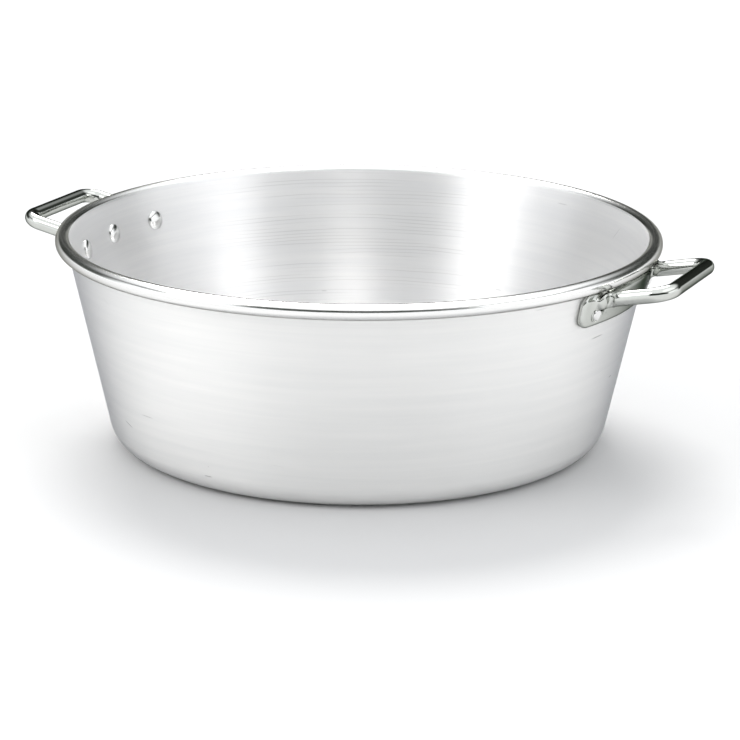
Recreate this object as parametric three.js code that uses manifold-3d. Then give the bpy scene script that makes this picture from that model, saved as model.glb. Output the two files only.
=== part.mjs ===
// A wide, shallow spun-aluminium pan with a rolled rim and two riveted loop handles.
// Millimetres, +Z up, origin under the middle of the base, handles on +X and -X.
import * as THREE from 'three';
import { mergeVertices } from 'three/addons/utils/BufferGeometryUtils.js';
import Module from 'manifold-3d';

// Pan
const RIM_RADIUS = 225; // outermost radius, on the rolled rim
const HEIGHT = 159;
const SHEET = 3.5;
const WALL_SLOPE = radians(12.6); // the wall's lean outwards from the vertical
const BEAD_RADIUS = 5.65; // outside of the rolled rim's section
const CURL_END = radians(-122); // where the rolled edge stops, next to the wall
const BASE_CORNER = 20.6; // outside radius between base and wall

// Handle plate, which follows the wall just under the rim
const PLATE_TOP = 147; // height of its top edge
const PLATE_TALL = 25;
const PLATE_THICK = 4;
const PLATE_HALF_ANGLE = radians(19.2);
const PLATE_CORNER = 8.5;
const PLATE_TOP_BEVEL = { drop: 4, depth: 2.4 };
const PLATE_FOOT_BEVEL = { drop: 1, depth: 1 };

// Handle loop: a bent bar whose flattened feet lie on the plate
const BAR_RADIUS = 5.4;
const LOOP_HALF_WIDTH = 47.4; // from the middle of the loop to the line of each leg
const LOOP_REACH = 259; // from the pan's axis to the line of the grip
const LOOP_CORNER = 13;
const LOOP_TILT = radians(11.6);
const LOOP_HEIGHT = 142.6; // where the loop crosses RIM_RADIUS
const FOOT_BEND = 7;
const FOOT_END_ANGLE = radians(15.4);
const FOOT_INSET = 8; // the feet's height is the loop's height this far inside RIM_RADIUS
const FOOT_HALF_THICK = 2.2;
const FOOT_HALF_TALL = 5.9;

// Rivets
const RIVET_ANGLE = radians(14.8);
const RIVET_DROP = 15.7; // down the slope from PLATE_TOP
const SHANK_RADIUS = 3;
const HEAD = { radius: 7.6, tall: 3.2 }; // the domed head inside the pan
const SHOP_END = { radius: 4.3, tall: 2.1 }; // the closed end outside

const GAP = 0.3; // between pieces that touch
const HOLE_LENGTH = 30;

// Steps round each turned or bent shape, and along each curve
const AROUND = { pan: 96, bar: 16, rivet: 16 };
const ALONG = { baseCorner: 5, curlInside: 8, curlOutside: 14, plate: 16, plateCorner: 4, foot: 2, bend: 8 };
const ALONG_DOME = { head: 3, shopEnd: 2 };
const MERGE_TOLERANCE = 0.001;

function radians(degrees) {
  return (degrees * Math.PI) / 180;
}

const mix = THREE.MathUtils.lerp;
const steps = (count) => Array.from({ length: count + 1 }, (_, i) => i / count);

const wasm = await Module();
wasm.setup();

// ---------------------------------------------------------------- solids

function merged(geometry) {
  const bare = geometry.clone();
  bare.deleteAttribute('normal');
  bare.deleteAttribute('uv');
  return mergeVertices(bare, MERGE_TOLERANCE);
}

function solidOf(geometry) {
  const { attributes, index } = merged(geometry);
  return new wasm.Manifold(
    new wasm.Mesh({
      numProp: 3,
      vertProperties: attributes.position.array,
      triVerts: new Uint32Array(index.array),
    }),
  );
}

function geometryOf(solid) {
  const mesh = solid.getMesh();
  const geometry = new THREE.BufferGeometry();
  geometry.setAttribute('position', new THREE.BufferAttribute(mesh.vertProperties, 3));
  geometry.setIndex(new THREE.BufferAttribute(mesh.triVerts, 1));
  return geometry;
}

function withHoles(geometry, cutters) {
  const cut = cutters.reduce((solid, cutter) => solid.subtract(solidOf(cutter)), solidOf(geometry));
  return geometryOf(cut);
}

// A closed skin over rings of the same number of points, with a fan over each end.
function loft(rings) {
  const around = rings[0].length;
  const points = rings.flat();
  const centre = (ring) =>
    ring.reduce((sum, p) => sum.add(p), new THREE.Vector3()).divideScalar(around);
  const first = points.push(centre(rings[0])) - 1;
  const last = points.push(centre(rings[rings.length - 1])) - 1;
  const lastRing = (rings.length - 1) * around;
  const index = [];
  for (let j = 0; j < around; j++) {
    const next = (j + 1) % around;
    index.push(first, next, j, last, lastRing + j, lastRing + next);
    for (let low = 0; low < lastRing; low += around) {
      const high = low + around;
      index.push(low + j, low + next, high + next, low + j, high + next, high + j);
    }
  }
  const geometry = new THREE.BufferGeometry().setFromPoints(points);
  geometry.setIndex(index);
  return geometry;
}

// Points along an arc of a lathe profile.
function arc(x, y, radius, from, to, count) {
  return steps(count).map((t) => {
    const angle = mix(from, to, t);
    return new THREE.Vector2(x + radius * Math.cos(angle), y + radius * Math.sin(angle));
  });
}

// A profile of (radius, height) turned about +Z.
function turned(profile, segments) {
  return new THREE.LatheGeometry(profile, segments).rotateX(Math.PI / 2);
}

// ---------------------------------------------------------------- the pan

const beadCentre = new THREE.Vector2(RIM_RADIUS - BEAD_RADIUS, HEIGHT - BEAD_RADIUS);
const curlStart = Math.PI - WALL_SLOPE; // the bead's point nearest the pan's axis
const curlInside = BEAD_RADIUS - SHEET;

// Radius of the wall's outer face at a height.
const wallTop = {
  radius: beadCentre.x + curlInside * Math.cos(curlStart),
  height: beadCentre.y + curlInside * Math.sin(curlStart),
};
function wallRadius(height) {
  return wallTop.radius + (height - wallTop.height) * Math.tan(WALL_SLOPE);
}

function panProfile() {
  const spread = (1 - Math.sin(WALL_SLOPE)) / Math.cos(WALL_SLOPE);
  const cornerX = wallRadius(0) - BASE_CORNER * spread;
  const outside = arc(cornerX, BASE_CORNER, BASE_CORNER, -Math.PI / 2, -WALL_SLOPE, ALONG.baseCorner);
  const innerCorner = BASE_CORNER - SHEET;
  const inside = arc(cornerX, BASE_CORNER, innerCorner, -WALL_SLOPE, -Math.PI / 2, ALONG.baseCorner);
  return [
    new THREE.Vector2(0, 0),
    ...outside,
    ...arc(beadCentre.x, beadCentre.y, curlInside, curlStart, CURL_END, ALONG.curlInside),
    ...arc(beadCentre.x, beadCentre.y, BEAD_RADIUS, CURL_END, curlStart, ALONG.curlOutside),
    ...inside,
    new THREE.Vector2(0, SHEET),
  ];
}

// ---------------------------------------------------------------- places on the wall

// A point at an angle round the pan, a distance down the slope from PLATE_TOP, and off the wall's face.
function onWall(angle, drop, off) {
  const radius =
    wallRadius(PLATE_TOP) - drop * Math.sin(WALL_SLOPE) + off * Math.cos(WALL_SLOPE);
  const height = PLATE_TOP - drop * Math.cos(WALL_SLOPE) - off * Math.sin(WALL_SLOPE);
  return new THREE.Vector3(radius * Math.cos(angle), radius * Math.sin(angle), height);
}

// Turns a shape made along +Z, standing on z = 0, so that it stands out of the wall at a rivet.
function atRivet(geometry, angle, off) {
  const foot = onWall(angle, RIVET_DROP, off);
  const out = onWall(angle, RIVET_DROP, off + 1).sub(foot);
  const turn = new THREE.Quaternion().setFromUnitVectors(new THREE.Vector3(0, 0, 1), out);
  return geometry.applyQuaternion(turn).translate(foot.x, foot.y, foot.z);
}

function rivetHole(angle) {
  const cutter = new THREE.CylinderGeometry(
    SHANK_RADIUS + GAP,
    SHANK_RADIUS + GAP,
    HOLE_LENGTH,
    AROUND.rivet,
  );
  return atRivet(cutter.rotateX(Math.PI / 2), angle, 0);
}

const rivetPlaces = { front: -RIVET_ANGLE, middle: 0, rear: RIVET_ANGLE };
const rivetHoles = (turn) => Object.values(rivetPlaces).map((angle) => rivetHole(angle + turn));

// ---------------------------------------------------------------- handle pieces, on +X

// How far a corner of the plate's outline pulls in, a distance from the plate's end.
function cornerInset(fromEnd) {
  const short = Math.max(0, PLATE_CORNER - fromEnd);
  return PLATE_CORNER - Math.sqrt(PLATE_CORNER ** 2 - short ** 2);
}

function handlePlate() {
  const faceRadius = wallRadius(PLATE_TOP);
  const halfLength = faceRadius * PLATE_HALF_ANGLE;
  const ends = steps(ALONG.plateCorner).map((t) => PLATE_CORNER * (1 - Math.cos((t * Math.PI) / 2)));
  const middle = steps(ALONG.plate).slice(1, -1);
  const inner = halfLength - PLATE_CORNER;
  const places = [
    ...ends.map((d) => d - halfLength),
    ...middle.map((t) => mix(-inner, inner, t)),
    ...ends.toReversed().map((d) => halfLength - d),
  ];
  const rings = places.map((place) => {
    const fromEnd = halfLength - Math.abs(place);
    const inset = cornerInset(fromEnd);
    const front = GAP + PLATE_THICK - Math.max(0, PLATE_FOOT_BEVEL.depth - fromEnd);
    const section = [
      [inset, GAP],
      [inset, front - PLATE_TOP_BEVEL.depth],
      [inset + PLATE_TOP_BEVEL.drop, front],
      [PLATE_TALL - inset - PLATE_FOOT_BEVEL.drop, front],
      [PLATE_TALL - inset, front - PLATE_FOOT_BEVEL.depth],
      [PLATE_TALL - inset, GAP],
    ];
    return section.map(([drop, off]) => onWall(place / faceRadius, drop, off));
  });
  return loft(rings);
}

// Half of the loop's line in plan, from the foot's end to the middle of the grip, with the
// direction of travel and how far the section has changed from flat foot to round bar.
function loopHalfLine() {
  const footHeight = LOOP_HEIGHT - FOOT_INSET * Math.tan(LOOP_TILT);
  const footRadius =
    wallRadius(footHeight) + (PLATE_THICK + 2 * GAP + FOOT_HALF_THICK) / Math.cos(WALL_SLOPE);
  const bendY = LOOP_HALF_WIDTH + FOOT_BEND;
  const bendX = Math.sqrt((footRadius + FOOT_BEND) ** 2 - bendY ** 2);
  const bendAngle = Math.atan2(bendY, bendX);
  const foot = steps(ALONG.foot).slice(0, -1).map((t) => {
    const angle = mix(FOOT_END_ANGLE, bendAngle, t);
    const x = footRadius * Math.cos(angle);
    return { x, y: footRadius * Math.sin(angle), heading: angle - Math.PI / 2, round: 0 };
  });
  const bend = steps(ALONG.bend).map((t) => {
    const heading = mix(bendAngle - Math.PI / 2, 0, t);
    const x = bendX + FOOT_BEND * Math.sin(heading);
    return { x, y: bendY - FOOT_BEND * Math.cos(heading), heading, round: t };
  });
  const corner = steps(ALONG.bend).map((t) => {
    const heading = mix(0, -Math.PI / 2, t);
    const x = LOOP_REACH - LOOP_CORNER - LOOP_CORNER * Math.sin(heading);
    const y = LOOP_HALF_WIDTH - LOOP_CORNER + LOOP_CORNER * Math.cos(heading);
    return { x, y, heading, round: 1 };
  });
  return [...foot, ...bend, ...corner];
}

function loopLine() {
  const half = loopHalfLine();
  const other = half.map(({ x, y, heading, round }) => {
    return { x, y: -y, heading: -Math.PI - heading, round };
  });
  return [...half, ...other.toReversed()];
}

function handleLoop() {
  const planeUp = new THREE.Vector3(-Math.sin(LOOP_TILT), 0, Math.cos(LOOP_TILT));
  const rings = loopLine().map(({ x, y, heading, round }) => {
    const height = LOOP_HEIGHT + (x - RIM_RADIUS) * Math.tan(LOOP_TILT);
    const travel = new THREE.Vector3(
      Math.cos(heading),
      Math.sin(heading),
      Math.cos(heading) * Math.tan(LOOP_TILT),
    ).normalize();
    const blend = THREE.MathUtils.smoothstep(round, 0, 1);
    const roll = (LOOP_TILT + WALL_SLOPE) * (blend - 1);
    const out = new THREE.Vector3().crossVectors(planeUp, travel).applyAxisAngle(travel, roll);
    const up = planeUp.clone().applyAxisAngle(travel, roll);
    const thick = mix(FOOT_HALF_THICK, BAR_RADIUS, blend);
    const tall = mix(FOOT_HALF_TALL, BAR_RADIUS, blend);
    return steps(AROUND.bar).slice(0, -1).map((t) => {
      const angle = t * 2 * Math.PI;
      return new THREE.Vector3(x, y, height)
        .addScaledVector(out, thick * Math.cos(angle))
        .addScaledVector(up, tall * Math.sin(angle));
    });
  });
  return loft(rings);
}

// Points down a dome's profile, from its top on the axis to its edge.
function dome(radius, base, tall, count) {
  return steps(count).map((t) => {
    const angle = (t * Math.PI) / 2;
    return new THREE.Vector2(radius * Math.sin(angle), base + tall * Math.cos(angle));
  });
}

// A rivet from its domed head inside the wall to its closed end outside a stack of this thickness.
function rivet(stack) {
  const headBase = -SHEET - GAP;
  const endBase = stack + GAP;
  const profile = [
    ...dome(HEAD.radius, headBase, -HEAD.tall, ALONG_DOME.head),
    new THREE.Vector2(SHANK_RADIUS, headBase),
    new THREE.Vector2(SHANK_RADIUS, endBase),
    ...dome(SHOP_END.radius, endBase, SHOP_END.tall, ALONG_DOME.shopEnd).toReversed(),
  ];
  return turned(profile, AROUND.rivet);
}

// ---------------------------------------------------------------- the assembly

const aluminium = { color: 0xd6d5d0, roughness: 0.38, metalness: 1 };
const stainless = { color: 0xc9cac5, roughness: 0.12, metalness: 1 };
const rivetMetal = { color: 0xd2d2cf, roughness: 0.2, metalness: 1 };

const group = new THREE.Group();

function add(name, geometry, look) {
  const mesh = new THREE.Mesh(geometry, new THREE.MeshStandardMaterial(look));
  mesh.name = name;
  group.add(mesh);
}

const handles = { right: 0, left: Math.PI }; // turn about +Z from +X

const panHoles = Object.values(handles).flatMap(rivetHoles);
add('pan_body', withHoles(turned(panProfile(), AROUND.pan), panHoles), aluminium);

for (const [side, turn] of Object.entries(handles)) {
  add(`${side}_handle_plate`, withHoles(handlePlate(), rivetHoles(0)).rotateZ(turn), stainless);
  add(`${side}_handle_loop`, handleLoop().rotateZ(turn), stainless);
  for (const [place, angle] of Object.entries(rivetPlaces)) {
    const geometry = atRivet(rivet(GAP + PLATE_THICK), angle, 0).rotateZ(turn);
    add(`${side}_rivet_${place}`, geometry, rivetMetal);
  }
}

export default group;
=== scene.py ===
"""A wide spun-aluminium pan with a rolled rim and two polished loop handles, on a pale studio floor.

Metres, +Z up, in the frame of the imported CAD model: the base stands on z = 0, and the handles are on
+X and -X.
"""

import math

import bpy
import numpy as np
from mathutils import Matrix, Vector


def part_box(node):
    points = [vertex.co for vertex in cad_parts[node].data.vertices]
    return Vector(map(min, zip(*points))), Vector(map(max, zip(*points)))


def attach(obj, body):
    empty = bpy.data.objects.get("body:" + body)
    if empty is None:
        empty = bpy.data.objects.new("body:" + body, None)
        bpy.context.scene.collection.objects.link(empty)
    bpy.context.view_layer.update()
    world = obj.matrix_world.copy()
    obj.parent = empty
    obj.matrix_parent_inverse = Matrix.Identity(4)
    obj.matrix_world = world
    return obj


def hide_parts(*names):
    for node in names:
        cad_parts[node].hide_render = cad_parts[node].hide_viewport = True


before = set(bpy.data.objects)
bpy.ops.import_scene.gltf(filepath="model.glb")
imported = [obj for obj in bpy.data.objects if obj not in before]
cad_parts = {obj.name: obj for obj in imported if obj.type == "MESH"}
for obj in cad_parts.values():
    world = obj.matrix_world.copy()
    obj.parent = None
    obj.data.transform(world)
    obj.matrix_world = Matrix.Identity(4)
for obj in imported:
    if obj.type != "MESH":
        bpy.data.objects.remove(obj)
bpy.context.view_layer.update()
MM = 0.001

# ------------------------------------------------------------------ driving dimensions

RIM_RADIUS = 225.0 * MM
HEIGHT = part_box("pan_body")[1].z
SHEET = 3.5 * MM
WALL_SLOPE = math.radians(12.6)  # the wall's lean outwards
BEAD_RADIUS = 5.65 * MM
CURL_END = math.radians(-122)
POLISH_END = math.radians(138)  # the bead is polished up to here, and brushed beyond, like the inside
BASE_CORNER = 20.6 * MM

PLATE_TOP = 147.0 * MM
PLATE_TALL = 25.0 * MM
PLATE_THICK = 4.0 * MM
PLATE_HALF_ANGLE = math.radians(19.2)
PLATE_CORNER = 8.5 * MM
PLATE_TOP_BEVEL = (4.2 * MM, 2.6 * MM)  # down the face, into the thickness
PLATE_SIDE_BEVEL = (1.6 * MM, 1.2 * MM)

BAR_RADIUS = 5.4 * MM
LOOP_HALF_WIDTH = 47.4 * MM
LOOP_REACH = 258.9 * MM
LOOP_CORNER = 13.0 * MM
LOOP_TILT = math.radians(11.6)
LOOP_HEIGHT = 142.6 * MM  # where the loop's line crosses RIM_RADIUS
FOOT_BEND = 7.0 * MM
FOOT_END_ANGLE = math.radians(13.9)  # a rounded tip runs on past this
FOOT_INSET = 8.0 * MM  # the feet lie at the height of the loop's line this far inside RIM_RADIUS
FOOT_HALF_THICK = 2.2 * MM
FOOT_HALF_TALL = 5.9 * MM
WELD = 4.5 * MM  # how far the polished weld spreads

RIVET_ANGLE = math.radians(14.8)
RIVET_DROP = 15.7 * MM
HEAD_RADIUS = 7.6 * MM
HEAD_TALL = 3.2 * MM
SHANK_RADIUS = 3.0 * MM
END_RADIUS = 4.3 * MM
END_TALL = 2.0 * MM
DISH_RADIUS = 4.9 * MM  # a groove pressed into the plate round each rivet
DISH_WIDE = 0.8 * MM
GAP = 0.3 * MM

PAN_SEGMENTS = 256
NET_STEP = 0.5 * MM  # the grid that the handles' surfaces are read from

CAMERA_AZIMUTH = math.radians(24.8)
CAMERA_ELEVATION = math.radians(15.5)
CAMERA_DISTANCE = 9.98 * RIM_RADIUS
CAMERA_LENS = 145.7
CAMERA_ROLL = math.radians(0.33)
CAMERA_SHIFT = (0.0156, -0.0524)
WORLD_STRENGTH = 1.31
FLOOR_HALF_SIDE = 60.0
FLOOR_DROP = 0.2 * MM  # keeps the floor clear of the pan's underside

# ------------------------------------------------------------------ camera, floor and light


def direction(azimuth, elevation):
    """A unit vector away from the object; azimuth 0 is the side that faces -Y."""
    flat = math.cos(elevation)
    return Vector((math.sin(azimuth) * flat, -math.cos(azimuth) * flat, math.sin(elevation)))


def looking_at(place, target):
    turn = (target - place).to_track_quat("-Z", "Y").to_matrix().to_4x4()
    return Matrix.Translation(place) @ turn


def link(name, data):
    made = bpy.data.objects.new(name, data)
    bpy.context.scene.collection.objects.link(made)
    return made


def make_camera():
    data = bpy.data.cameras.new("camera")
    data.lens = CAMERA_LENS
    data.shift_x, data.shift_y = CAMERA_SHIFT
    data.clip_end = 200
    camera = link("camera", data)
    target = Vector((0, 0, HEIGHT / 2))
    place = target + CAMERA_DISTANCE * direction(CAMERA_AZIMUTH, CAMERA_ELEVATION)
    camera.matrix_world = looking_at(place, target) @ Matrix.Rotation(CAMERA_ROLL, 4, "Z")
    bpy.context.scene.camera = camera


def far_box(name, azimuth, elevation, wide, irradiance, colour=(1, 1, 1)):
    """A round softbox so far away that it lights the whole floor evenly; its azimuth is from the camera's."""
    data = bpy.data.lights.new(name, "SUN")
    data.angle = math.radians(wide)
    data.energy = irradiance
    data.color = colour
    place = direction(CAMERA_AZIMUTH + math.radians(azimuth), math.radians(elevation))
    link(name, data).matrix_world = looking_at(place, Vector())


# ------------------------------------------------------------------ node helpers


class Nodes:
    """Short calls for building a node tree."""

    def __init__(self, tree):
        self.tree = tree
        tree.nodes.clear()

    def add(self, kind, inputs=None, **settings):
        node = self.tree.nodes.new(kind)
        for key, value in settings.items():
            setattr(node, key, value)
        for key, value in (inputs or {}).items():
            self.feed(node.inputs[key], value)
        return node

    def feed(self, socket, value):
        if isinstance(value, bpy.types.NodeSocket):
            self.tree.links.new(value, socket)
        else:
            socket.default_value = value

    def math(self, operation, *values, clamp=False):
        node = self.add("ShaderNodeMath", operation=operation, use_clamp=clamp)
        for socket, value in zip(node.inputs, values):
            self.feed(socket, value)
        return node.outputs[0]

    def vector(self, operation, *values):
        node = self.add("ShaderNodeVectorMath", operation=operation)
        for socket, value in zip(node.inputs, values):
            self.feed(socket, value)
        return node.outputs[0]

    def noise(self, place, scale, detail=3.0, rough=0.55, distortion=0.0):
        node = self.add(
            "ShaderNodeTexNoise",
            {"Vector": place, "Scale": scale, "Detail": detail, "Roughness": rough, "Distortion": distortion},
        )
        return node.outputs[0]

    def spread(self, value, low, high, to_low, to_high, smooth=False):
        kind = "SMOOTHSTEP" if smooth else "LINEAR"
        node = self.add(
            "ShaderNodeMapRange",
            {"Value": value, "From Min": low, "From Max": high, "To Min": to_low, "To Max": to_high},
            interpolation_type=kind,
        )
        return node.outputs[0]

    def blend(self, factor, a, b, mode="MIX"):
        node = self.add("ShaderNodeMix", data_type="RGBA", blend_type=mode)
        self.feed(node.inputs[0], factor)
        self.feed(node.inputs[6], a)
        self.feed(node.inputs[7], b)
        return node.outputs[2]


def make_world():
    """A white studio. It is dark low down behind the pan, and in a gap in front, round the camera."""
    world = bpy.data.worlds.new("studio")
    bpy.context.scene.world = world
    world.use_nodes = True
    n = Nodes(world.node_tree)
    way = n.add("ShaderNodeTexCoord").outputs["Generated"]
    rise = n.add("ShaderNodeSeparateXYZ", {"Vector": way}).outputs["Z"]
    flat = n.vector("NORMALIZE", n.vector("MULTIPLY", way, (1, 1, 0)))

    def towards(azimuth):
        """How nearly a direction's plan view points at an azimuth from the camera's: its cosine."""
        aim = direction(CAMERA_AZIMUTH + math.radians(azimuth), 0)
        return n.add("ShaderNodeVectorMath", {0: flat, 1: aim}, operation="DOT_PRODUCT").outputs["Value"]

    def levels(*stops):
        ramp = n.add("ShaderNodeValToRGB", {"Fac": rise})
        ramp.color_ramp.interpolation = "EASE"
        marks = ramp.color_ramp.elements
        while len(marks) < len(stops):
            marks.new(0.5)
        for mark, (place, colour) in zip(marks, stops):
            mark.position, mark.color = place, (*colour, 1)
        return ramp.outputs[0]

    def cosine(degrees):
        return math.cos(math.radians(degrees))

    dark, white = (0.035, 0.04, 0.035), (0.97, 0.985, 1.0)
    centre = levels((0.0, white), (0.11, white), (0.15, dark), (0.54, dark), (0.66, white), (1.0, white))
    sides = levels((0.0, white), (0.44, white), (0.49, dark), (0.57, dark), (0.63, white), (1.0, white))
    behind = levels((0.0, white), (0.12, white), (0.16, dark), (0.42, dark), (0.74, white), (1.0, white))
    ahead = towards(0)
    sky = n.blend(n.spread(ahead, cosine(118), cosine(92), 0.0, 1.0, smooth=True), behind, sides)
    sky = n.blend(n.spread(ahead, cosine(50), cosine(40), 0.0, 1.0, smooth=True), sky, centre)
    back = n.add("ShaderNodeBackground", {"Color": sky, "Strength": WORLD_STRENGTH})
    n.add("ShaderNodeOutputWorld", {"Surface": back.outputs[0]})


def make_floor():
    side = FLOOR_HALF_SIDE
    mesh = bpy.data.meshes.new("floor")
    corners = [(-side, -side, 0), (side, -side, 0), (side, side, 0), (-side, side, 0)]
    mesh.from_pydata(corners, [], [(0, 1, 2, 3)])
    floor = link("floor", mesh)
    floor.location.z = -FLOOR_DROP
    material = bpy.data.materials.new("floor")
    material.use_nodes = True
    n = Nodes(material.node_tree)
    shader = n.add(
        "ShaderNodeBsdfPrincipled",
        {"Base Color": (0.66, 0.66, 0.665, 1), "Roughness": 1.0, "Specular IOR Level": 0.0},
    )
    n.add("ShaderNodeOutputMaterial", {"Surface": shader.outputs[0]})
    mesh.materials.append(material)


# ------------------------------------------------------------------ mesh helpers


def mesh_object(name, points, faces, material, smooth=True):
    mesh = bpy.data.meshes.new(name)
    mesh.from_pydata([tuple(p) for p in points], [], [tuple(f) for f in faces])
    mesh.validate()
    mesh.update()
    mesh.polygons.foreach_set("use_smooth", [smooth] * len(mesh.polygons))
    if material:
        mesh.materials.append(material)
    return link(name, mesh)


def arc(x, z, radius, start, end, count):
    angles = np.linspace(start, end, count)
    return [(x + radius * math.cos(a), z + radius * math.sin(a)) for a in angles]


def turned(profile, segments):
    """Points and faces of a profile of (radius, height) turned about +Z; it starts and ends on the axis."""
    inner = profile[1:-1]
    angles = np.arange(segments) * 2 * math.pi / segments
    points = [(0, 0, profile[0][1])]
    points += [(r * math.cos(a), r * math.sin(a), z) for r, z in inner for a in angles]
    points += [(0, 0, profile[-1][1])]
    last = len(points) - 1
    faces = []
    for j in range(segments):
        k = (j + 1) % segments
        faces.append((0, 1 + k, 1 + j))
        for i in range(len(inner) - 1):
            low, high = 1 + i * segments, 1 + (i + 1) * segments
            faces.append((low + j, low + k, high + k, high + j))
        top = 1 + (len(inner) - 1) * segments
        faces.append((top + j, top + k, last))
    return points, faces


def surface_net(field, low, high, step):
    """The zero surface of a vectorised field as points and quads, on a grid between two corners."""
    axes = [np.arange(low[i], high[i] + step, step) for i in range(3)]
    grid = np.stack(np.meshgrid(*axes, indexing="ij"), axis=-1)
    shape = grid.shape[:3]
    value = field(grid.reshape(-1, 3)).reshape(shape)
    inside = value < 0
    total = np.zeros([s - 1 for s in shape] + [3])
    hits = np.zeros([s - 1 for s in shape])
    cell = [slice(0, s - 1) for s in shape]

    def shifted(array, offset):
        return array[tuple(slice(o, o + c.stop) for o, c in zip(offset, cell))]

    for axis in range(3):
        others = [i for i in range(3) if i != axis]
        for a in (0, 1):
            for b in (0, 1):
                start, end = [0, 0, 0], [0, 0, 0]
                start[others[0]] = end[others[0]] = a
                start[others[1]] = end[others[1]] = b
                end[axis] = 1
                v0, v1 = shifted(value, start), shifted(value, end)
                crossed = (v0 < 0) != (v1 < 0)
                t = np.where(crossed, v0 / np.where(crossed, v0 - v1, 1), 0)[..., None]
                p0, p1 = shifted(grid, start), shifted(grid, end)
                total += np.where(crossed[..., None], p0 + t * (p1 - p0), 0)
                hits += crossed
    used = hits > 0
    number = np.full(used.shape, -1)
    number[used] = np.arange(used.sum())
    points = total[used] / hits[used][:, None]
    quads = []
    for axis in range(3):
        u, v = (axis + 1) % 3, (axis + 2) % 3
        trim = [slice(1, -1)] * 3
        trim[axis] = slice(0, -1)
        ahead = list(trim)
        ahead[axis] = slice(1, None)
        first, second = inside[tuple(trim)], inside[tuple(ahead)]
        edge = np.argwhere(first != second)
        base = edge + np.array([0 if i == axis else 1 for i in range(3)])
        corners = []
        for du, dv in ((-1, -1), (0, -1), (0, 0), (-1, 0)):
            place = base.copy()
            place[:, u] += du
            place[:, v] += dv
            corners.append(number[tuple(place.T)])
        quad = np.stack(corners, axis=1)
        outward = first[tuple(edge.T)]
        quads.append(np.where(outward[:, None], quad, quad[:, ::-1]))
    faces = np.concatenate(quads)
    tiny = step * 0.02
    for _ in range(3):
        here = field(points)
        rise = [field(points + d) - field(points - d) for d in np.eye(3) * tiny]
        slope = np.stack(rise, axis=1) / (2 * tiny)
        size = np.maximum((slope**2).sum(1), 0.25)
        points = points - np.clip(here / size, -step, step)[:, None] * slope
    return points, faces


def smooth_min(a, b, k):
    h = np.clip(0.5 + 0.5 * (b - a) / k, 0, 1)
    return b + (a - b) * h - k * h * (1 - h)


def smooth_max(a, b, k):
    return -smooth_min(-a, -b, k)


# ------------------------------------------------------------------ pan shape

BEAD_X, BEAD_Z = RIM_RADIUS - BEAD_RADIUS, HEIGHT - BEAD_RADIUS
CURL_START = math.pi - WALL_SLOPE
CURL_INSIDE = BEAD_RADIUS - SHEET
SIN_S, COS_S = math.sin(WALL_SLOPE), math.cos(WALL_SLOPE)


def wall_radius(z):
    top_x = BEAD_X + CURL_INSIDE * math.cos(CURL_START)
    top_z = BEAD_Z + CURL_INSIDE * math.sin(CURL_START)
    return top_x + (z - top_z) * math.tan(WALL_SLOPE)


def between(a, b, count):
    return [(a[0] + (b[0] - a[0]) * t, a[1] + (b[1] - a[1]) * t) for t in np.linspace(0, 1, count)[1:-1]]


def pan_sections():
    """The profile from the middle of the underside to that of the floor, cut where the finish changes."""
    corner_x = wall_radius(0) - BASE_CORNER * (1 - SIN_S) / COS_S
    edge = SHEET / 2
    middle = BEAD_RADIUS - edge
    lip = (BEAD_X + middle * math.cos(CURL_END), BEAD_Z + middle * math.sin(CURL_END))
    outside = arc(corner_x, BASE_CORNER, BASE_CORNER, -math.pi / 2, -WALL_SLOPE, 20)
    inner_curl = arc(BEAD_X, BEAD_Z, CURL_INSIDE, CURL_START, CURL_END, 24)
    rounded_lip = arc(*lip, edge, CURL_END - math.pi, CURL_END - 2 * math.pi, 10)[1:-1]
    outer_curl = arc(BEAD_X, BEAD_Z, BEAD_RADIUS, CURL_END, POLISH_END, 58)
    shoulder = arc(BEAD_X, BEAD_Z, BEAD_RADIUS, POLISH_END, CURL_START, 8)[1:]
    inside = arc(corner_x, BASE_CORNER, BASE_CORNER - SHEET, -WALL_SLOPE, -math.pi / 2, 20)
    base = between((0, 0), outside[0], 14)
    floor = between(inside[-1], (0, SHEET), 14)
    wall_out = between(outside[-1], inner_curl[0], 40)
    wall_in = between(shoulder[-1], inside[0], 40)
    return {
        "underside": [(0, 0), *base],
        "outside": [*outside, *wall_out],
        "bead": [*inner_curl, *rounded_lip, *outer_curl],
        "inside": [*shoulder, *wall_in, *inside, *floor, (0, SHEET)],
    }


# ------------------------------------------------------------------ handle shape


def to_wall(points):
    """Angle, drop down the slope from PLATE_TOP and distance off the wall's face."""
    angle = np.arctan2(points[:, 1], points[:, 0])
    dr = np.hypot(points[:, 0], points[:, 1]) - wall_radius(PLATE_TOP)
    dz = points[:, 2] - PLATE_TOP
    return angle, -(dr * SIN_S + dz * COS_S), dr * COS_S - dz * SIN_S


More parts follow.
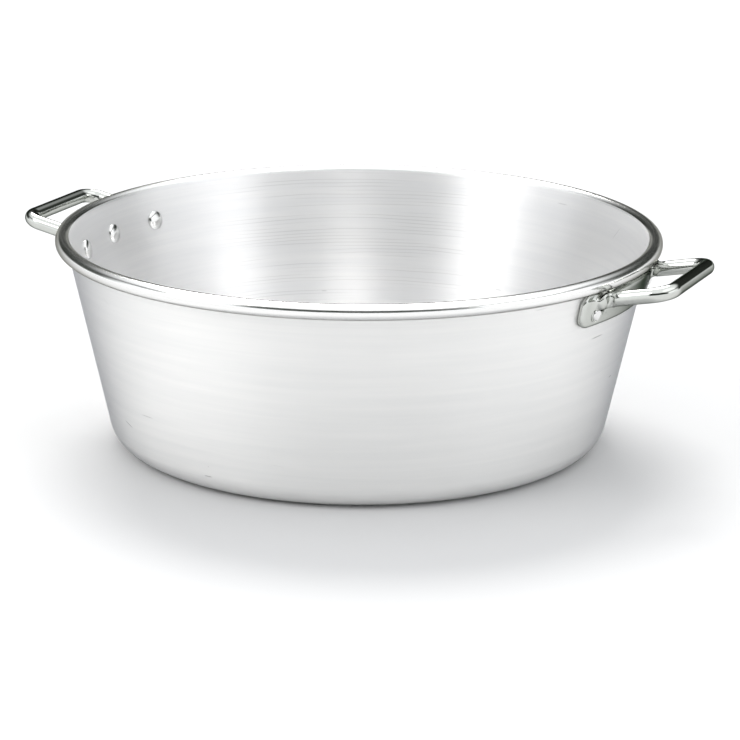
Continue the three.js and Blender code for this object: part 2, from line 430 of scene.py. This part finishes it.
def plate_field(points):
    angle, drop, off = to_wall(points)
    half_long = PLATE_HALF_ANGLE * wall_radius(PLATE_TOP)
    across = np.abs(angle) * wall_radius(PLATE_TOP) - (half_long - PLATE_CORNER)
    along = np.abs(drop - PLATE_TALL / 2) - (PLATE_TALL / 2 - PLATE_CORNER)
    outline = (
        np.hypot(np.maximum(across, 0), np.maximum(along, 0))
        + np.minimum(np.maximum(across, along), 0)
        - PLATE_CORNER
    )
    front = PLATE_THICK + GAP
    body = smooth_max(outline, off - front, 0.5 * MM)
    wide, deep = PLATE_SIDE_BEVEL
    side = ((off - front + deep) * wide + outline * deep) / math.hypot(wide, deep)
    wide, deep = PLATE_TOP_BEVEL
    top = ((off - front + deep) * wide - drop * deep) / math.hypot(wide, deep)
    body = smooth_max(body, side, 0.7 * MM)
    body = smooth_max(body, top, 0.7 * MM)
    for rivet in (-RIVET_ANGLE, 0.0, RIVET_ANGLE):
        away = np.hypot((angle - rivet) * wall_radius(PLATE_TOP), drop - RIVET_DROP)
        dish = np.hypot(away - DISH_RADIUS, off - front) - DISH_WIDE
        body = smooth_max(body, -dish, 0.4 * MM)
    return np.maximum(body, GAP - off)


def loop_line(spacing):
    """Points, frames and half sizes along the loop, at an even spacing from foot to foot."""
    foot_height = LOOP_HEIGHT - FOOT_INSET * math.tan(LOOP_TILT)
    foot = wall_radius(foot_height) + (PLATE_THICK + 2 * GAP + FOOT_HALF_THICK) / COS_S
    bend_y = LOOP_HALF_WIDTH + FOOT_BEND
    bend_x = math.sqrt((foot + FOOT_BEND) ** 2 - bend_y**2)
    bend_angle = math.atan2(bend_y, bend_x)
    corner = (LOOP_REACH - LOOP_CORNER, LOOP_HALF_WIDTH - LOOP_CORNER)

    # Each stretch: its length, and its plan position and heading a distance along it.
    def on_foot(s):
        angle = FOOT_END_ANGLE - s / foot
        return foot * math.cos(angle), foot * math.sin(angle), angle - math.pi / 2, 0

    def on_bend(s):
        heading = bend_angle - math.pi / 2 + s / FOOT_BEND
        x = bend_x + FOOT_BEND * math.sin(heading)
        return x, bend_y - FOOT_BEND * math.cos(heading), heading, s / bend_long

    def on_leg(s):
        return bend_x + s, LOOP_HALF_WIDTH, 0, 1

    def on_corner(s):
        heading = -s / LOOP_CORNER
        x = corner[0] - LOOP_CORNER * math.sin(heading)
        return x, corner[1] + LOOP_CORNER * math.cos(heading), heading, 1

    def on_grip(s):
        return LOOP_REACH, corner[1] - s, -math.pi / 2, 1

    bend_long = FOOT_BEND * (math.pi / 2 - bend_angle)
    stretches = (
        (foot * (FOOT_END_ANGLE - bend_angle), on_foot),
        (bend_long, on_bend),
        (corner[0] - bend_x, on_leg),
        (LOOP_CORNER * math.pi / 2, on_corner),
        (corner[1], on_grip),
    )
    half = []
    for long, place in stretches:
        count = max(2, round(long / spacing))
        half += [place(long * i / count) for i in range(count)]
    half.append(on_grip(corner[1]))
    other = [(x, -y, -math.pi - heading, rounded) for x, y, heading, rounded in half[-2::-1]]
    x, y, heading, rounded = np.array(half + other).T

    tilt = math.tan(LOOP_TILT)
    places = np.stack([x, y, LOOP_HEIGHT + (x - RIM_RADIUS) * tilt], axis=1)
    travel = np.stack([np.cos(heading), np.sin(heading), np.cos(heading) * tilt], axis=1)
    travel /= np.linalg.norm(travel, axis=1)[:, None]
    plane_up = np.array([-math.sin(LOOP_TILT), 0, math.cos(LOOP_TILT)])
    plane_out = np.cross(plane_up, travel)
    rounded = rounded * rounded * (3 - 2 * rounded)
    roll = (LOOP_TILT + WALL_SLOPE) * (rounded - 1)
    cos_roll, sin_roll = np.cos(roll)[:, None], np.sin(roll)[:, None]
    out = plane_out * cos_roll + np.cross(travel, plane_out) * sin_roll
    up = plane_up * cos_roll + np.cross(travel, plane_up[None]) * sin_roll
    thick = FOOT_HALF_THICK + (BAR_RADIUS - FOOT_HALF_THICK) * rounded
    tall = FOOT_HALF_TALL + (BAR_RADIUS - FOOT_HALF_TALL) * rounded
    along = np.concatenate([[0], np.cumsum(np.linalg.norm(np.diff(places, axis=0), axis=1))])
    return along, np.hstack([places, travel, out, up, thick[:, None], tall[:, None]])


LOOP_ALONG, LOOP_TABLE = loop_line(0.25 * MM)
FAR_OFF = 14 * MM  # beyond this the bar's field needs no detail


def bar_field(points):
    coarse = LOOP_TABLE[::10, :3]
    apart = (points**2).sum(1)[:, None] - 2 * points @ coarse.T + (coarse**2).sum(1)
    nearest = apart.argmin(1)
    value = np.sqrt(np.maximum(apart[np.arange(len(points)), nearest], 0)) - BAR_RADIUS
    close = np.flatnonzero(value < FAR_OFF)
    p, s = points[close], LOOP_ALONG[::10][nearest[close]]
    for _ in range(5):
        row = np.stack([np.interp(s, LOOP_ALONG, column) for column in LOOP_TABLE[:, :6].T], axis=1)
        s = np.clip(s + ((p - row[:, :3]) * row[:, 3:6]).sum(1), 0, LOOP_ALONG[-1])
    row = np.stack([np.interp(s, LOOP_ALONG, column) for column in LOOP_TABLE.T], axis=1)
    gone = p - row[:, :3]
    forward, out, up = ((gone * row[:, i : i + 3]).sum(1) for i in (3, 6, 9))
    thick, tall = row[:, 12], row[:, 13]
    past = np.where((s <= 0) | (s >= LOOP_ALONG[-1]), forward / tall, 0)
    ratio = np.sqrt((out / thick) ** 2 + (up / tall) ** 2 + past**2)
    value[close] = (ratio - 1) * np.minimum(thick, tall)
    return value


def loop_field(points):
    """The bar and the polished weld that runs from it onto the plate."""
    bar = bar_field(points)
    welded = smooth_min(bar, plate_field(points) + 0.05 * MM, WELD)
    return np.maximum(welded, bar - WELD * 1.3)


# ------------------------------------------------------------------ rivet shape


def rivet_profile():
    """From the top of the domed head inside the pan to the closed end outside; 0 is the wall's outer face."""
    head = -SHEET - GAP * 0.2
    end = PLATE_THICK + GAP
    dome = [
        (HEAD_RADIUS * math.sin(a), head - HEAD_TALL * math.cos(a) ** 0.8)
        for a in np.linspace(0, math.pi / 2, 22)[:-1]
    ]
    cap = [
        (END_RADIUS * math.cos(a), end + END_TALL * math.sin(a) ** 0.9)
        for a in np.linspace(0, math.pi / 2, 18)[:-1]
    ]
    return [
        (0, head - HEAD_TALL), *dome[1:], (HEAD_RADIUS, head), (SHANK_RADIUS, head),
        (SHANK_RADIUS, end), *cap, (0, end + END_TALL),
    ]


def on_wall(angle, drop, off):
    radius = wall_radius(PLATE_TOP) - drop * SIN_S + off * COS_S
    height = PLATE_TOP - drop * COS_S - off * SIN_S
    return Vector((radius * math.cos(angle), radius * math.sin(angle), height))


def make_rivet(name, angle, turn, material):
    points, faces = turned(rivet_profile(), 48)
    base = on_wall(angle, RIVET_DROP, 0)
    out = on_wall(angle, RIVET_DROP, 1) - base
    aim = out.to_track_quat("Z", "Y").to_matrix().to_4x4()
    place = Matrix.Rotation(turn, 4, "Z") @ Matrix.Translation(base) @ aim
    return mesh_object(name, [place @ Vector(p) for p in points], faces, material)


# ------------------------------------------------------------------ materials

WHITE = (1.0, 1.0, 1.0, 1.0)
MARK_GREY = (0.42, 0.42, 0.41, 1)
DING_GREY = (0.16, 0.16, 0.155, 1)
MARKS_PER_METRE = 300.0
MARKED_SIDE = direction(CAMERA_AZIMUTH + math.pi, 0)  # where the tool marks are heaviest


def new_material(name):
    material = bpy.data.materials.new(name)
    material.use_nodes = True
    return material, Nodes(material.node_tree)


def around_and_height(n):
    """Where a point is on a turned piece: direction from the axis, radius and height."""
    place = n.add("ShaderNodeTexCoord").outputs["Object"]
    split = n.add("ShaderNodeSeparateXYZ", {"Vector": place})
    x, y, z = split.outputs
    flat = n.add("ShaderNodeCombineXYZ", {"X": x, "Y": y, "Z": 0.0}).outputs[0]
    way = n.vector("NORMALIZE", flat)
    radius = n.add("ShaderNodeVectorMath", {0: flat}, operation="LENGTH").outputs["Value"]
    return place, way, radius, z


def rings(n, way, travel, across, along):
    """A place to read noise at, drawn out around the axis: coarse in angle, fine along the profile."""
    circle = n.vector("MULTIPLY", way, (along, along, along))
    rise = n.math("MULTIPLY", travel, across)
    lift = n.add("ShaderNodeCombineXYZ", {"X": 0.0, "Y": 0.0, "Z": rise}).outputs[0]
    return n.vector("ADD", circle, lift)


def scratches(n, place, z):
    """Short scratches on the wall, one at most in each cell, mostly level: 1 in a scratch, 0 elsewhere."""
    split = n.add("ShaderNodeSeparateXYZ", {"Vector": place}).outputs
    around = n.math("MULTIPLY", n.math("ARCTAN2", split[1], split[0]), RIM_RADIUS)
    flat = n.add("ShaderNodeCombineXYZ", {"X": around, "Y": z, "Z": 0.0}).outputs[0]
    cell = n.add("ShaderNodeTexVoronoi", {"Vector": flat, "Scale": 17.0}, voronoi_dimensions="2D")
    from_cell = n.vector("SUBTRACT", flat, cell.outputs["Position"])
    off = n.add("ShaderNodeSeparateXYZ", {"Vector": from_cell}).outputs
    tilt, size, chance = n.add("ShaderNodeSeparateColor", {"Color": cell.outputs["Color"]}).outputs
    rise = n.math("MULTIPLY", off[0], n.spread(n.math("POWER", tilt, 3.0), 0.0, 1.0, 0.05, -1.1))
    across = n.math("ABSOLUTE", n.math("SUBTRACT", off[1], rise))
    along = n.math("DIVIDE", n.math("ABSOLUTE", off[0]), n.spread(size, 0.0, 1.0, 3.0 * MM, 11.0 * MM))
    line = n.spread(across, 0.0, 0.6 * MM, 1.0, 0.0, smooth=True)
    ends = n.spread(along, 0.3, 1.0, 1.0, 0.0, smooth=True)
    there = n.spread(chance, 0.5, 0.9, 0.0, 0.7)
    return n.math("MULTIPLY", n.math("MULTIPLY", line, ends), there)


def specks(n, place):
    """A few small dark pits."""
    cell = n.add("ShaderNodeTexVoronoi", {"Vector": place, "Scale": 22.0})
    rare = n.spread(cell.outputs["Color"], 0.72, 0.76, 0.0, 0.9)
    return n.math("MULTIPLY", n.spread(cell.outputs["Distance"], 0.012, 0.030, 1.0, 0.0), rare)


def tool_marks(n, way, travel):
    """Wavy rings from the spinning tool, broken up and heaviest on one side: 1 in a mark, 0 elsewhere."""
    drift = n.noise(rings(n, way, travel, 30.0, 1.6), 1.0, 2.0, 0.5)
    turns = n.math("ADD", n.math("MULTIPLY", travel, MARKS_PER_METRE), n.math("MULTIPLY", drift, 2.2))
    wave = n.math("SINE", n.math("MULTIPLY", turns, math.tau))
    breaks = n.noise(rings(n, way, travel, 150.0, 1.8), 1.0, 1.0, 0.5)
    broken = n.spread(breaks, 0.44, 0.62, 0.0, 1.0, smooth=True)
    side = n.add("ShaderNodeVectorMath", {0: way, 1: MARKED_SIDE}, operation="DOT_PRODUCT")
    patches = n.spread(side.outputs["Value"], 0.80, 0.95, 0.06, 1.0, smooth=True)
    crest = n.spread(wave, 0.45, 1.0, 0.0, 1.0, smooth=True)
    return n.math("MULTIPLY", crest, n.math("MULTIPLY", broken, patches))


def aluminium(name, pale, dull, metallic, rough, spread=0.0, streaks=0.0, dings=0.0, edge=WHITE):
    """Spun aluminium: fine rings, wavy tool marks, clouding, and a few dings, in amounts for each face."""
    material, n = new_material(name)
    place, way, radius, z = around_and_height(n)
    travel = n.math("ADD", z, radius)  # grows along the profile, on the wall and on the base
    fine = n.noise(rings(n, way, travel, 1500.0, 1.4), 1.0, 4.0, 0.6)
    coarse = n.noise(rings(n, way, travel, 170.0, 1.8), 1.0, 3.0, 0.5, 0.3)
    marks = tool_marks(n, way, travel)
    cloud = n.noise(place, 8.0, 3.0, 0.5)

    tone = n.math("ADD", n.math("MULTIPLY", fine, 0.4), n.math("MULTIPLY", coarse, 0.6))
    colour = n.blend(n.spread(tone, 0.35, 0.65, 0.0, 1.0), dull, pale)
    colour = n.blend(n.spread(cloud, 0.35, 0.65, 0.0, 0.35), colour, dull)
    colour = n.blend(n.math("MULTIPLY", marks, streaks), colour, MARK_GREY)
    if dings:
        harm = n.math("MAXIMUM", scratches(n, place, z), specks(n, place))
        colour = n.blend(n.math("MULTIPLY", harm, dings), colour, DING_GREY)
    worn = n.spread(fine, 0.3, 0.7, rough - 0.04, rough + 0.04)
    height = n.math("SUBTRACT", tone, n.math("MULTIPLY", marks, 0.5))
    bump = n.add("ShaderNodeBump", {"Height": height, "Strength": 0.3, "Distance": 0.0001})
    shader = n.add(
        "ShaderNodeBsdfPrincipled",
        {
            "Base Color": colour,
            "Metallic": metallic,
            "Specular Tint": edge,
            "Roughness": n.math("ADD", worn, n.spread(cloud, 0.3, 0.7, -0.02, 0.03)),
            "Anisotropic": spread,
            "Anisotropic Rotation": 0.25,
            "Normal": bump.outputs[0],
            "Tangent": n.add("ShaderNodeTangent", direction_type="RADIAL", axis="Z").outputs[0],
        },
    )
    n.add("ShaderNodeOutputMaterial", {"Surface": shader.outputs[0]})
    return material


def polished(name, colour, rough, edge=WHITE):
    """Mirror-polished metal with faint smears and hair lines; edge tints what it reflects at a slant."""
    material, n = new_material(name)
    place = n.add("ShaderNodeTexCoord").outputs["Object"]
    smear = n.noise(place, 60.0, 4.0, 0.6)
    hair = n.noise(n.vector("MULTIPLY", place, (900.0, 900.0, 2600.0)), 1.0, 2.0, 0.5)
    dull = n.spread(smear, 0.3, 0.7, rough, rough * 2.0)
    roughness = n.math("ADD", dull, n.spread(hair, 0.45, 0.7, 0.0, 0.04))
    bump = n.add("ShaderNodeBump", {"Height": hair, "Strength": 0.06, "Distance": 0.00004})
    tint = n.blend(n.spread(smear, 0.3, 0.7, 0.0, 1.0), colour, tuple(c * 0.94 for c in colour[:3]) + (1,))
    shader = n.add(
        "ShaderNodeBsdfPrincipled",
        {
            "Base Color": tint,
            "Metallic": 1.0,
            "Specular Tint": edge,
            "Roughness": roughness,
            "Normal": bump.outputs[0],
        },
    )
    n.add("ShaderNodeOutputMaterial", {"Surface": shader.outputs[0]})
    return material


# ------------------------------------------------------------------ the model


def place_piece(piece, slot, *nodes):
    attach(piece, "root")
    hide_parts(*nodes)


make_camera()
make_world()
make_floor()
far_box("key_box", -65, 40, 30, 0.65, (1.0, 0.99, 0.97))
far_box("fill_box", 60, 44, 60, 0.3)
far_box("rear_box", -172, 50, 30, 2.25, (1.0, 0.99, 0.97))
bpy.context.scene.view_settings.view_transform = "Standard"

FINISHES = {
    "underside": aluminium(
        "aluminium_underside", (0.86, 0.86, 0.855, 1), (0.70, 0.70, 0.695, 1),
        metallic=0.8, rough=0.38, spread=0.7, streaks=0.5, dings=0.8,
    ),
    "outside": aluminium(
        "aluminium_outside", (0.96, 0.955, 0.94, 1), (0.90, 0.90, 0.89, 1),
        metallic=0.75, rough=0.42, spread=0.75, streaks=0.08, dings=0.9, edge=(0.0, 0.01, 0.04, 1),
    ),
    "bead": aluminium(
        "aluminium_bead", (0.91, 0.91, 0.90, 1), (0.87, 0.87, 0.86, 1),
        metallic=1.0, rough=0.17, edge=(0.22, 0.22, 0.20, 1),
    ),
    "inside": aluminium(
        "aluminium_inside", (0.92, 0.915, 0.91, 1), (0.85, 0.85, 0.855, 1),
        metallic=0.85, rough=0.38, spread=0.85, streaks=0.25, dings=0.5,
    ),
}
STEEL = polished("handle_steel", (0.62, 0.635, 0.605, 1), 0.06, (0.05, 0.06, 0.05, 1))
RIVET = polished("rivet_metal", (0.80, 0.80, 0.79, 1), 0.10)


def make_pan():
    sections = pan_sections()
    profile = [point for points in sections.values() for point in points]
    of_face = [i for i, points in enumerate(sections.values()) for _ in points][:-1]
    pan = mesh_object("pan", *turned(profile, PAN_SEGMENTS), None)
    for section in sections:
        pan.data.materials.append(FINISHES[section])
    pan.data.polygons.foreach_set("material_index", of_face * PAN_SEGMENTS)
    return pan


place_piece(make_pan(), "spun_aluminium", "pan_body")

SIDES = {"right": 0.0, "left": math.pi}
RIVETS = {"front": -RIVET_ANGLE, "middle": 0.0, "rear": RIVET_ANGLE}


def net_in_box(field, node):
    """The surface of a field inside the right-hand CAD node's box."""
    low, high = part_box(node)
    margin = WELD + 2 * NET_STEP
    return surface_net(field, [v - margin for v in low], [v + margin for v in high], NET_STEP)


plate_net = net_in_box(plate_field, "right_handle_plate")
loop_net = net_in_box(loop_field, "right_handle_loop")

for side, turn in SIDES.items():
    spin = np.array(Matrix.Rotation(turn, 3, "Z"))
    for part, (points, faces) in (("plate", plate_net), ("loop", loop_net)):
        piece = mesh_object(f"{side}_{part}", points @ spin.T, faces, STEEL)
        place_piece(piece, "handle_steel", f"{side}_handle_{part}")
    for place, angle in RIVETS.items():
        piece = make_rivet(f"{side}_rivet_{place}_polished", angle, turn, RIVET)
        place_piece(piece, "rivet_metal", f"{side}_rivet_{place}")
